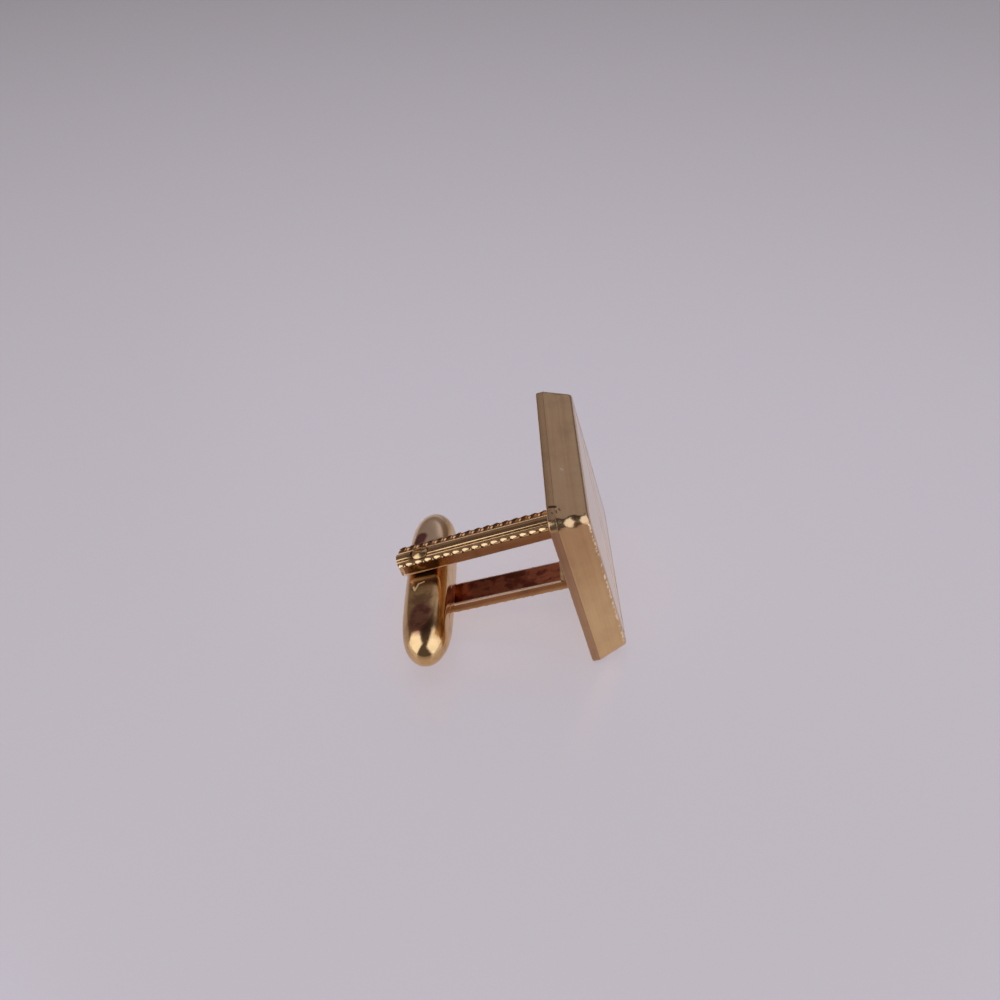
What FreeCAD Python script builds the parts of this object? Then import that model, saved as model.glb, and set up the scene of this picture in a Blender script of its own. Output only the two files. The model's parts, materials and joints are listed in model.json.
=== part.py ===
import FreeCAD, Part
import math
import os

# A swivel-toggle cufflink, lying on its side as it is stored.
# X points out of the display face, Y runs along the open toggle, Z runs along the pivot pin.
# The origin is the middle of the display face. All lengths are millimetres.

# Case: a drawn front shell with leaning sides, closed by a flat back plate
case_width = 20.4
case_height = 17.0
case_depth = 3.3
case_corner_radius = 0.8
inner_corner_share = 0.5
side_draft = 0.68
face_edge_radius = 0.3
shell_wall = 0.5
back_plate_thickness = 0.7
back_edge_radius = 0.15
locating_step_height = 0.5
locating_step_clearance = 0.03

# Face panel: let into the front of the shell, level with its rim, with a band between two engraved lines
rim_width = 0.9
panel_thickness = 0.5
panel_seat_thickness = 0.4
panel_corner_radius = 0.35
panel_clearance = 0.03
engraved_line_width = 0.3
engraved_line_depth = 0.12
face_band_width = 2.6
face_band_offset = 2.2

# Leg bracket: two milgrain legs on a base strip soldered to the back plate, off the case's middle
# The legs close in a little towards the toggle, the upper one more than the lower
post_offset_y = -2.8
post_offset_z = -0.75
leg_reach = 15.3
upper_leg_splay = 0.46
lower_leg_splay = 0.1
strip_width = 2.75
strip_ground = 1.12
base_corner_radius = 0.5
pattern_height = 0.26
milgrain_width = 0.66
bead_pitch = 0.9
bead_valley_share = 0.25
rib_width = 0.86
rib_edge_radius = 0.1
tip_bulge = 0.3
tip_corner_radius = 0.4

# Toggle: a hollow torpedo with four flats, in two half shells that meet at mid height
# It tapers to round noses that the hollow stops short of
# It stands open at a slight turn from square, within the play of its detent
toggle_length = 19.0
toggle_diameter = 4.72
toggle_nose_radius = 1.8
toggle_taper_degrees = 13
toggle_across_flats = 4.02
toggle_wall = 0.5
toggle_hollow_length = 14.4
toggle_overhang = 0.73
toggle_side_clearance = 0.33
toggle_set_degrees = -1.8

# Pivot pin: round through the legs near their tips, square inside the toggle, headed over both legs
# A groove in line with the legs parts each low head into two ridges, level with the pattern
pin_to_tip = 2.25
pin_diameter = 1.2
pin_leg_clearance = 0.01
pin_toggle_clearance = 0.03
head_diameter = 1.6
head_height = 0.38
head_rim_share = 0.5
head_groove_width = 0.44
head_groove_depth = 0.16
head_seat_depth = 0.05
head_seat_clearance = 0.08
cam_across_flats = 1.7
cam_end_clearance = 0.08

# Detent spring: a hairpin of two leaves that grip the square of the pin
spring_thickness = 0.25
spring_clearance = 0.02
spring_edge_clearance = 0.1
spring_tail = 5.2
spring_nose = 3.6

# One overrun serves every cut, and a small share of it tells whether two places are the same
overrun = 1.0
same_place_share = 0.001

# Places worked out from the sizes above
face_x = 0
back_x = face_x - case_depth
shell_back_x = back_x + back_plate_thickness
panel_back_x = face_x - panel_thickness
cavity_front_x = panel_back_x - panel_seat_thickness
leg_tip_x = back_x - leg_reach
pin_x = leg_tip_x + pin_to_tip
leg_gap = toggle_across_flats + 2 * toggle_side_clearance
leg_inner = leg_gap / 2
leg_ground = leg_inner + strip_ground
leg_outer = leg_ground + pattern_height
leg_beyond = leg_outer + max(upper_leg_splay, lower_leg_splay) + overrun
head_base = leg_ground - head_seat_depth
toggle_inner_flats = toggle_across_flats - 2 * toggle_wall
post = FreeCAD.Vector(0, post_offset_y, post_offset_z)
toggle_middle = post + FreeCAD.Vector(pin_x, -toggle_overhang, 0)
across = FreeCAD.Vector(0, 1, 0)
upward = FreeCAD.Vector(0, 0, 1)
outward = FreeCAD.Vector(1, 0, 0)


def point(x, y, z):
    return FreeCAD.Vector(x, y, z)


def same_place(a, b):
    return abs(a - b) < overrun * same_place_share


def rounded_outline(x, width, height, radius):
    """A rectangle with rounded corners, square to X and centred on the X axis."""
    half_w = width / 2
    half_h = height / 2
    corner = radius * math.cos(math.pi / 4)
    edges = []
    for turn in range(4):
        a, b = (half_w, half_h) if turn % 2 == 0 else (half_h, half_w)
        angle = turn * math.pi / 2

        def place(u, v):
            y = u * math.cos(angle) - v * math.sin(angle)
            z = u * math.sin(angle) + v * math.cos(angle)
            return point(x, y, z)

        edges.append(Part.LineSegment(place(a, radius - b), place(a, b - radius)).toShape())
        mid = place(a - radius + corner, b - radius + corner)
        edges.append(Part.Arc(place(a, b - radius), mid, place(a - radius, b)).toShape())
    return Part.Wire(edges)


def case_section(x, inset):
    """The leaning case outline at one depth, drawn in by the given inset."""
    lean = side_draft * max(x - shell_back_x, 0) / (face_x - shell_back_x)
    shrink = 2 * (lean + inset)
    radius = max(case_corner_radius - inset, inner_corner_share * case_corner_radius)
    return rounded_outline(x, case_width - shrink, case_height - shrink, radius)


def case_block(x_from, x_to, inset):
    return Part.makeLoft([case_section(x_from, inset), case_section(x_to, inset)], True, True)


def panel_block(x_from, x_to, inset):
    shrink = 2 * (side_draft + rim_width + inset)
    outline = rounded_outline(x_from, case_width - shrink, case_height - shrink, panel_corner_radius)
    return Part.Face(outline).extrude(outward * (x_to - x_from))


def edges_at_x(shape, x):
    return [e for e in shape.Edges if all(same_place(v.Point.x, x) for v in e.Vertexes)]


def make_front_shell():
    block = case_block(shell_back_x, face_x, 0)
    block = block.makeFillet(face_edge_radius, edges_at_x(block, face_x))
    cavity = case_block(shell_back_x, cavity_front_x, shell_wall)
    recess = panel_block(panel_back_x, face_x + overrun, 0)
    return block.cut(cavity).cut(recess)


def make_face_panel():
    """The panel, engraved along its rising diagonal with the two edges of a band."""
    panel = panel_block(panel_back_x, face_x, panel_clearance)
    reach = case_width + case_height
    slant = math.degrees(math.atan2(case_height, case_width))
    for side in (-1, 1):
        low = side * face_band_width / 2 - face_band_offset - engraved_line_width / 2
        corner = point(face_x - engraved_line_depth, -reach / 2, low)
        line = Part.makeBox(engraved_line_depth + overrun, reach, engraved_line_width, corner)
        line.rotate(point(0, 0, 0), outward, slant)
        panel = panel.cut(line)
    return panel


def make_back_plate():
    plate = case_block(back_x, shell_back_x, 0)
    plate = plate.makeFillet(back_edge_radius, edges_at_x(plate, back_x))
    step_front_x = shell_back_x + locating_step_height
    step = case_block(shell_back_x, step_front_x, shell_wall + locating_step_clearance)
    return plate.fuse(step).removeSplitter()


def leg_lean(side):
    """The angle at which a leg leans away from its neighbour, towards the back plate."""
    splay = upper_leg_splay if side > 0 else lower_leg_splay
    return math.atan2(splay, back_x - pin_x)


def plain_bracket():
    """The bracket before its pattern: a base on the back plate and two leaning legs."""
    base_x = back_x - strip_ground
    outline = []
    corners = []
    for side in (1, -1):
        lean = leg_lean(side)

        def at(x, height):
            rise = (height - leg_inner) / math.cos(lean)
            z = leg_inner + rise + (x - pin_x) * math.tan(lean)
            return post + point(x, -strip_width / 2, side * z)

        corners.append(at(base_x, leg_inner))
        half = [
            at(back_x, leg_ground),
            at(leg_tip_x, leg_ground),
            at(leg_tip_x, leg_inner),
            at(base_x, leg_inner),
        ]
        outline = outline + half if side > 0 else outline + half[::-1]
    bracket = Part.Face(Part.makePolygon(outline + outline[:1])).extrude(across * strip_width)
    inner_edges = []
    for edge in bracket.Edges:
        middle = edge.CenterOfMass
        for corner in corners:
            if same_place(middle.x, corner.x) and same_place(middle.z, corner.z):
                inner_edges.append(edge)
    return bracket.makeFillet(base_corner_radius, inner_edges)


def lean_with_leg(shape, side):
    """Turns a shape made along X about the leg's inner face at the pin, into line with the leg."""
    shape.rotate(post + point(pin_x, 0, side * leg_inner), across, -side * math.degrees(leg_lean(side)))
    return shape


def milgrain_row(y_low, side):
    """A row of half-round beads along one edge of a leg's outer face, with one to spare at each end."""
    count = round(leg_reach / bead_pitch)
    pitch = leg_reach / count
    valley = leg_ground + bead_valley_share * pattern_height
    first_x = back_x + pitch
    last_x = leg_tip_x - pitch

    def at(x, z):
        return post + point(x, y_low, side * z)

    edges = [Part.LineSegment(at(last_x, valley), at(last_x, leg_ground)).toShape()]
    edges.append(Part.LineSegment(at(last_x, leg_ground), at(first_x, leg_ground)).toShape())
    edges.append(Part.LineSegment(at(first_x, leg_ground), at(first_x, valley)).toShape())
    for i in range(count + 2):
        start = first_x - i * pitch
        crown = at(start - pitch / 2, leg_outer)
        edges.append(Part.Arc(at(start, valley), crown, at(start - pitch, valley)).toShape())
    row = Part.Face(Part.Wire(Part.sortEdges(edges)[0])).extrude(across * milgrain_width)
    return lean_with_leg(row, side)


def centre_rib(side):
    low = leg_ground if side > 0 else -leg_outer
    corner = post + point(leg_tip_x - overrun, -rib_width / 2, low)
    rib = Part.makeBox(leg_reach + 2 * overrun, rib_width, pattern_height, corner)
    crests = []
    for edge in rib.Edges:
        middle = edge.CenterOfMass - post
        if same_place(middle.z, side * leg_outer) and same_place(abs(middle.y), rib_width / 2):
            crests.append(edge)
    return lean_with_leg(rib.makeFillet(rib_edge_radius, crests), side)


def leg_plan():
    """The outline of the legs seen along the pin, with a slightly bowed tip, as a tall block."""
    half = strip_width / 2
    shoulder_x = leg_tip_x + tip_bulge

    def at(x, y):
        return post + point(x, y, -leg_beyond)

    edges = [
        Part.LineSegment(at(back_x, half), at(shoulder_x, half)),
        Part.Arc(at(shoulder_x, half), at(leg_tip_x, 0), at(shoulder_x, -half)),
        Part.LineSegment(at(shoulder_x, -half), at(back_x, -half)),
        Part.LineSegment(at(back_x, -half), at(back_x, half)),
    ]
    block = Part.Face(Part.Wire([e.toShape() for e in edges])).extrude(upward * 2 * leg_beyond)
    corners = []
    for edge in block.Edges:
        middle = edge.CenterOfMass - post
        if same_place(middle.x, shoulder_x) and same_place(abs(middle.y), half):
            corners.append(edge)
    return block.makeFillet(tip_corner_radius, corners)


def make_leg_bracket():
    bracket = plain_bracket()
    for side in (-1, 1):
        for y_low in (-strip_width / 2, strip_width / 2 - milgrain_width):
            bracket = bracket.fuse(milgrain_row(y_low, side))
        bracket = bracket.fuse(centre_rib(side))
    bracket = bracket.common(leg_plan())
    hole = Part.makeCylinder(pin_diameter / 2 + pin_leg_clearance, 2 * leg_beyond,
                             post + point(pin_x, 0, -leg_beyond))
    bracket = bracket.cut(hole)
    for side in (-1, 1):
        seat = Part.makeCylinder(head_diameter / 2 + head_seat_clearance, head_height + overrun,
                                 post + point(pin_x, 0, side * head_base), upward * side)
        bracket = bracket.cut(seat)
    return bracket.removeSplitter()


def with_flats(bar, flats):
    """Cuts four flats along a bar that lies where the toggle does."""
    corner = toggle_middle - point(flats / 2, toggle_length, flats / 2)
    block = Part.makeBox(flats, 2 * toggle_length, flats, corner)
    return bar.common(block).removeSplitter()


def torpedo():
    """The outside of the toggle: a bar along Y that tapers at both ends to a round nose."""
    radius = toggle_diameter / 2
    nose = toggle_nose_radius
    taper = math.radians(toggle_taper_degrees)
    halfway = taper + (math.pi / 2 - taper) / 2
    centre = toggle_length / 2 - nose
    joint = centre + nose * math.sin(taper)
    shoulder = joint - (radius - nose * math.cos(taper)) / math.tan(taper)

    def at(r, y):
        return toggle_middle + point(r, y, 0)

    edges = [
        Part.LineSegment(at(radius, -shoulder), at(radius, shoulder)),
        Part.LineSegment(at(0, -toggle_length / 2), at(0, toggle_length / 2)),
    ]
    for end in (-1, 1):
        taper_end = at(nose * math.cos(taper), end * joint)
        on_nose = at(nose * math.cos(halfway), end * (centre + nose * math.sin(halfway)))
        edges.append(Part.LineSegment(at(radius, end * shoulder), taper_end))
        edges.append(Part.Arc(taper_end, on_nose, at(0, end * toggle_length / 2)))
    outline = Part.Wire(Part.sortEdges([e.toShape() for e in edges])[0])
    return with_flats(Part.Face(outline).revolve(toggle_middle, across, 360), toggle_across_flats)


def toggle_hollow():
    """The inside of the toggle: a straight bore with round ends and the same four flats."""
    radius = toggle_diameter / 2 - toggle_wall
    run = toggle_hollow_length - 2 * radius
    bore = Part.makeCylinder(radius, run, toggle_middle - across * (run / 2), across)
    for end in (-1, 1):
        bore = bore.fuse(Part.makeSphere(radius, toggle_middle + across * (end * run / 2)))
    return with_flats(bore, toggle_inner_flats)


def set_with_toggle(shape):
    """Turns a shape made square about the pin, to the angle at which the toggle stands."""
    shape.rotate(post + point(pin_x, 0, 0), upward, toggle_set_degrees)
    return shape


def make_toggle_shell(side):
    shell = torpedo().cut(toggle_hollow())
    hole = Part.makeCylinder(pin_diameter / 2 + pin_toggle_clearance, leg_gap,
                             post + point(pin_x, 0, -leg_inner))
    shell = shell.cut(hole)
    low = 0 if side > 0 else -toggle_diameter
    half = Part.makeBox(2 * toggle_diameter, 2 * toggle_length, toggle_diameter,
                        post + point(pin_x - toggle_diameter, -toggle_length, low))
    return set_with_toggle(shell.common(half).removeSplitter())


def pin_head(side):
    """A low grooved dome hammered over the leg's outer face."""
    radius = head_diameter / 2
    rim = head_base + head_rim_share * head_height
    top = head_base + head_height
    sag = top - rim
    dome = (radius * radius + sag * sag) / (2 * sag)
    half_angle = math.asin(radius / dome) / 2
    shoulder_z = top - dome + dome * math.cos(half_angle)

    def at(r, z):
        return post + point(pin_x + r, 0, side * z)

    edges = [
        Part.LineSegment(at(0, head_base), at(radius, head_base)),
        Part.LineSegment(at(radius, head_base), at(radius, rim)),
        Part.Arc(at(radius, rim), at(dome * math.sin(half_angle), shoulder_z), at(0, top)),
        Part.LineSegment(at(0, top), at(0, head_base)),
    ]
    profile = Part.Face(Part.Wire([e.toShape() for e in edges]))
    head = profile.revolve(post + point(pin_x, 0, 0), upward, 360)
    low = top - head_groove_depth if side > 0 else -top - overrun
    groove = Part.makeBox(2 * head_diameter, head_groove_width, head_groove_depth + overrun,
                          post + point(pin_x - head_diameter, -head_groove_width / 2, low))
    return head.cut(groove)


def make_pivot_pin():
    pin = Part.makeCylinder(pin_diameter / 2, 2 * head_base, post + point(pin_x, 0, -head_base))
    cam_height = toggle_inner_flats - 2 * cam_end_clearance
    half = cam_across_flats / 2
    cam = Part.makeBox(cam_across_flats, cam_across_flats, cam_height,
                       post + point(pin_x - half, -half, -cam_height / 2))
    pin = pin.fuse(cam)
    for side in (-1, 1):
        pin = pin.fuse(pin_head(side))
    return set_with_toggle(pin.removeSplitter())


def make_detent_spring():
    inner = cam_across_flats / 2 + spring_clearance
    outer = inner + spring_thickness
    height = toggle_inner_flats - 2 * spring_edge_clearance

    def at(x, y):
        return post + point(pin_x + x, y, -height / 2)

    edges = [
        Part.LineSegment(at(-outer, -spring_tail), at(-outer, spring_nose)),
        Part.Arc(at(-outer, spring_nose), at(0, spring_nose + outer), at(outer, spring_nose)),
        Part.LineSegment(at(outer, spring_nose), at(outer, -spring_tail)),
        Part.LineSegment(at(outer, -spring_tail), at(inner, -spring_tail)),
        Part.LineSegment(at(inner, -spring_tail), at(inner, spring_nose)),
        Part.Arc(at(inner, spring_nose), at(0, spring_nose + inner), at(-inner, spring_nose)),
        Part.LineSegment(at(-inner, spring_nose), at(-inner, -spring_tail)),
        Part.LineSegment(at(-inner, -spring_tail), at(-outer, -spring_tail)),
    ]
    spring = Part.Face(Part.Wire([e.toShape() for e in edges])).extrude(upward * height)
    return set_with_toggle(spring)


pieces = {
    "front_shell": make_front_shell(),
    "face_panel": make_face_panel(),
    "back_plate": make_back_plate(),
    "leg_bracket": make_leg_bracket(),
    "pivot_pin": make_pivot_pin(),
    "toggle_shell_upper": make_toggle_shell(1),
    "toggle_shell_lower": make_toggle_shell(-1),
    "detent_spring": make_detent_spring(),
}

os.makedirs("parts", exist_ok=True)
for name, shape in pieces.items():
    shape.exportStep("parts/" + name + ".step")
    print(name, "valid", shape.isValid(), "solids", len(shape.Solids), "volume", round(shape.Volume, 3))
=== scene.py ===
import json
import math

import bmesh
import bpy
from mathutils import Matrix, Vector


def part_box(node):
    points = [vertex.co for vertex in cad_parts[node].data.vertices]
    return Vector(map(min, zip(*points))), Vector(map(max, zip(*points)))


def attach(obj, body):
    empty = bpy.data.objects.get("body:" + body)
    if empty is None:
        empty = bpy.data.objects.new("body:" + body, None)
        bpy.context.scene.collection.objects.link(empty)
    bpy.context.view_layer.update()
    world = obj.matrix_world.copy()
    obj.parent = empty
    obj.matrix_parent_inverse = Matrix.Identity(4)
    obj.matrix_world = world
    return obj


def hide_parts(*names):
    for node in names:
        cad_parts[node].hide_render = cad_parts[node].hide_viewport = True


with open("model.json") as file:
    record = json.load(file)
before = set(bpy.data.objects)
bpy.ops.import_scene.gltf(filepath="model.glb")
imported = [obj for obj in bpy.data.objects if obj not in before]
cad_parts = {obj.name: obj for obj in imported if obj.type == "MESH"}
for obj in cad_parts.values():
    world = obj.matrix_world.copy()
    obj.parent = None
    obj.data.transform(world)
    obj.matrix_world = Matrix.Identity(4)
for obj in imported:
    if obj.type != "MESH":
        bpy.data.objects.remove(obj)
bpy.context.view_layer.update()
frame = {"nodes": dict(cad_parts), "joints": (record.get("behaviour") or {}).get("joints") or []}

mm = 0.001
scene = bpy.context.scene
scene.view_settings.view_transform = "Standard"

# sizes that the frame gives, in metres
shellLow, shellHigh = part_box("front_shell")
plateLow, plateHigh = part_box("back_plate")
legLow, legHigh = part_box("leg_bracket")
pivot = Vector(frame["joints"][0]["pos_m"])
backX = plateLow.x
caseSize = plateHigh - plateLow
caseLean = 0.68 * mm  # how far each wall leans in from the back to the face
weldWithin = 0.0005 * mm
nearZero = 1e-6  # keeps a division finite
straightHalf = math.radians(89)  # a corner with a wider half angle gets no arc
print("frame loaded:", len(frame["nodes"]), "nodes")


# helpers for meshes

def addObject(name, mesh):
    obj = bpy.data.objects.new(name, mesh)
    scene.collection.objects.link(obj)
    return obj


def roundedLine(corners, steps=5):
    # an open line of (a, b, radius) corners, each inner corner turned into an arc
    line = [Vector(corners[0][:2])]
    for before, corner, after in zip(corners, corners[1:], corners[2:]):
        here = Vector(corner[:2])
        radius = corner[2]
        toBefore = (Vector(before[:2]) - here).normalized()
        toAfter = (Vector(after[:2]) - here).normalized()
        half = toBefore.angle(toAfter) / 2
        if radius <= 0 or half > straightHalf:
            line.append(here)
            continue
        centre = here + (toBefore + toAfter).normalized() * radius / math.sin(half)
        first = here + toBefore * radius / math.tan(half) - centre
        last = here + toAfter * radius / math.tan(half) - centre
        turn = first.angle_signed(last)
        for step in range(steps + 1):
            line.append(centre + Matrix.Rotation(-turn * step / steps, 2) @ first)
    line.append(Vector(corners[-1][:2]))
    return line


def skinRings(rings, capEnds=True):
    # quads from ring to ring, with a flat cap on each end
    bm = bmesh.new()
    loops = [[bm.verts.new(p) for p in ring] for ring in rings]
    for a, b in zip(loops, loops[1:]):
        for i in range(len(a)):
            j = (i + 1) % len(a)
            bm.faces.new((a[i], a[j], b[j], b[i]))
    if capEnds:
        bm.faces.new(loops[0])
        bm.faces.new(loops[-1])
    bmesh.ops.remove_doubles(bm, verts=bm.verts, dist=weldWithin)
    bmesh.ops.recalc_face_normals(bm, faces=bm.faces)
    return bm


def meshFrom(bm, name):
    mesh = bpy.data.meshes.new(name)
    bm.to_mesh(mesh)
    bm.free()
    return mesh


def bake(obj):
    # the modified mesh becomes the object's own plain mesh
    graph = bpy.context.evaluated_depsgraph_get()
    graph.update()
    made = bpy.data.meshes.new_from_object(
        obj.evaluated_get(graph), preserve_all_data_layers=True, depsgraph=graph)
    made.name = obj.name
    obj.modifiers.clear()
    obj.data = made


def smoothPiece(obj, sharpAngle=40, bevel=0.0, bevelSteps=2, bevelAngle=35):
    if bevel > 0:
        edge = obj.modifiers.new("edges", "BEVEL")
        edge.width = bevel
        edge.segments = bevelSteps
        edge.limit_method = "ANGLE"
        edge.angle_limit = math.radians(bevelAngle)
        edge.use_clamp_overlap = True
        edge.harden_normals = False
        bake(obj)
    for polygon in obj.data.polygons:
        polygon.use_smooth = True
    obj.data.set_sharp_from_angle(angle=math.radians(sharpAngle))
    weigh = obj.modifiers.new("normals", "WEIGHTED_NORMAL")
    weigh.keep_sharp = True
    bake(obj)


def cutAway(obj, cutter):
    cut = obj.modifiers.new("cut", "BOOLEAN")
    cut.operation = "DIFFERENCE"
    cut.solver = "EXACT"
    cut.object = cutter
    bake(obj)


def settle(obj, body, slot, material, *nodes):
    obj.data.materials.clear()
    obj.data.materials.append(material)
    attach(obj, body)
    if nodes:
        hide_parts(*nodes)
    print("piece", obj.name, len(obj.data.polygons), "faces")


# shared shader effects, each in millimetres of the piece's own coordinates

def newGroup(name, inputs, outputs, kind="ShaderNodeTree"):
    group = bpy.data.node_groups.new(name, kind)
    for label, socketType, value in inputs:
        socket = group.interface.new_socket(label, in_out="INPUT", socket_type=socketType)
        if value is not None:
            socket.default_value = value
    for label, socketType in outputs:
        group.interface.new_socket(label, in_out="OUTPUT", socket_type=socketType)
    start = group.nodes.new("NodeGroupInput")
    end = group.nodes.new("NodeGroupOutput")
    return group, start, end


def plug(tree, value, socket):
    # a link from another socket, or a fixed value
    if isinstance(value, bpy.types.NodeSocket):
        tree.links.new(value, socket)
    else:
        socket.default_value = value


def addNode(tree, kind, links=None, **settings):
    node = tree.nodes.new(kind)
    for key, value in settings.items():
        setattr(node, key, value)
    for socket, value in (links or {}).items():
        plug(tree, value, node.inputs[socket])
    return node


def calc(tree, operation, *values):
    return addNode(tree, "ShaderNodeMath", dict(enumerate(values)), operation=operation).outputs[0]


def product(tree, first, *others):
    for other in others:
        first = calc(tree, "MULTIPLY", first, other)
    return first


def vectorCalc(tree, operation, first, second):
    # the second value is a number where the first is scaled, and a vector otherwise
    other = "Scale" if operation == "SCALE" else 1
    return addNode(tree, "ShaderNodeVectorMath", {0: first, other: second}, operation=operation).outputs[0]


def spread(tree, value, low, high, toLow=0.0, toHigh=1.0):
    # a smooth step from toLow at low to toHigh at high
    node = addNode(tree, "ShaderNodeMapRange", {
        "Value": value, "From Min": low, "From Max": high, "To Min": toLow, "To Max": toHigh,
    }, interpolation_type="SMOOTHSTEP")
    return node.outputs["Result"]


def noise(tree, point, scale, detail, rough=0.5):
    links = {"Vector": point, "Scale": scale, "Detail": detail, "Roughness": rough}
    return addNode(tree, "ShaderNodeTexNoise", links).outputs


def axesOf(tree, point):
    return addNode(tree, "ShaderNodeSeparateXYZ", {0: point}).outputs[:]


def mixColour(tree, share, first, second, kind="MIX"):
    mix = addNode(tree, "ShaderNodeMix", {"Factor": share}, data_type="RGBA", blend_type=kind)
    colours = [socket for socket in mix.inputs if socket.type == "RGBA"]
    for socket, value in zip(colours, (first, second)):
        plug(tree, value if isinstance(value, bpy.types.NodeSocket) else (*value, 1.0), socket)
    return [socket for socket in mix.outputs if socket.type == "RGBA"][0]


brushLook = {
    "drift": 0.3, "wanderScale": 0.35, "wanderDetail": 2.0, "fineDetail": 5.0, "fineRough": 0.65,
    "broadScale": 0.22, "broadDetail": 3.0, "streaks": (0.35, 0.68),
}
scratchLook = {
    "stretch": (9.0, 0.6, 0.6), "detail": 2.0, "width": 0.035,
    "families": (((0.3, 0.5, 0.9), 3.1), ((1.1, -0.4, 2.2), 8.7), ((-0.7, 0.9, 0.2), 5.3)),
}
tarnishLook = {
    "hollowReach": 0.45 * mm, "hollowRays": 8, "hollows": (0.35, 0.92), "cloudDetail": 6.0, "cloudRough": 0.6,
    "patches": (0.42, 0.75), "speckScale": 7.0, "speckDetail": 3.0, "specks": (0.25, 0.6), "speckLeast": 0.55,
}


def makeBrushLines():
    b = brushLook
    group, start, end = newGroup("brushLines", [
        ("Point", "NodeSocketVector", None),
        ("Stretch", "NodeSocketVector", None),
        ("Drift", "NodeSocketFloat", b["drift"]),
    ], [("Lines", "NodeSocketFloat"), ("Streaks", "NodeSocketFloat")])
    point = start.outputs["Point"]
    wander = noise(group, point, b["wanderScale"], b["wanderDetail"])["Color"]
    moved = vectorCalc(group, "ADD", point, vectorCalc(group, "SCALE", wander, start.outputs["Drift"]))
    drawn = vectorCalc(group, "MULTIPLY", moved, start.outputs["Stretch"])
    fine = noise(group, drawn, 1.0, b["fineDetail"], b["fineRough"])["Fac"]
    broad = noise(group, drawn, b["broadScale"], b["broadDetail"])["Fac"]
    group.links.new(fine, end.inputs["Lines"])
    group.links.new(spread(group, broad, *b["streaks"]), end.inputs["Streaks"])
    return group


def makeHairScratches():
    # families of thin scratches that cross, each turned and moved by its own amount
    s = scratchLook
    group, start, end = newGroup("hairScratches", [
        ("Point", "NodeSocketVector", None),
        ("Fineness", "NodeSocketFloat", None),
    ], [("Height", "NodeSocketFloat")])
    found = 0.0
    for turn, place in s["families"]:
        turned = addNode(group, "ShaderNodeMapping", {
            "Vector": start.outputs["Point"], "Rotation": turn, "Location": (place, place, place),
            "Scale": s["stretch"]})
        sized = vectorCalc(group, "SCALE", turned.outputs[0], start.outputs["Fineness"])
        grain = noise(group, sized, 1.0, s["detail"])["Fac"]
        ridge = calc(group, "ABSOLUTE", calc(group, "SUBTRACT", grain, 0.5))
        found = calc(group, "MAXIMUM", found, spread(group, ridge, 0.0, s["width"], 1.0, 0.0))
    group.links.new(calc(group, "SUBTRACT", 1.0, found), end.inputs["Height"])
    return group


def makeTarnish():
    # dirt and red-brown tarnish that stays in hollows, with soft patches over open metal
    t = tarnishLook
    group, start, end = newGroup("tarnish", [
        ("Point", "NodeSocketVector", None),
        ("Metal", "NodeSocketColor", None),
        ("Tarnish", "NodeSocketColor", None),
        ("Hollows", "NodeSocketFloat", None),
        ("Patches", "NodeSocketFloat", None),
        ("Patch Size", "NodeSocketFloat", None),
    ], [("Color", "NodeSocketColor"), ("Mask", "NodeSocketFloat")])
    value = start.outputs
    hidden = addNode(group, "ShaderNodeAmbientOcclusion", {"Distance": t["hollowReach"]},
                     samples=t["hollowRays"])
    deep = spread(group, hidden.outputs["AO"], *t["hollows"], 1.0, 0.0)
    scale = calc(group, "DIVIDE", 1.0, value["Patch Size"])
    cloud = noise(group, value["Point"], scale, t["cloudDetail"], t["cloudRough"])["Fac"]
    patch = spread(group, cloud, *t["patches"])
    speck = noise(group, value["Point"], t["speckScale"], t["speckDetail"])["Fac"]
    ragged = spread(group, speck, *t["specks"], t["speckLeast"], 1.0)
    mask = calc(group, "MAXIMUM", product(group, deep, ragged, value["Hollows"]),
                calc(group, "MULTIPLY", patch, value["Patches"]))
    group.links.new(mixColour(group, mask, value["Metal"], value["Tarnish"]), end.inputs["Color"])
    group.links.new(mask, end.inputs["Mask"])
    return group


brushLines = makeBrushLines()
hairScratches = makeHairScratches()
tarnish = makeTarnish()


# marks of wear and painted light and shade on one piece each: a colour goes in, and a colour and the share of
# wear and painted shade come out

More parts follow.
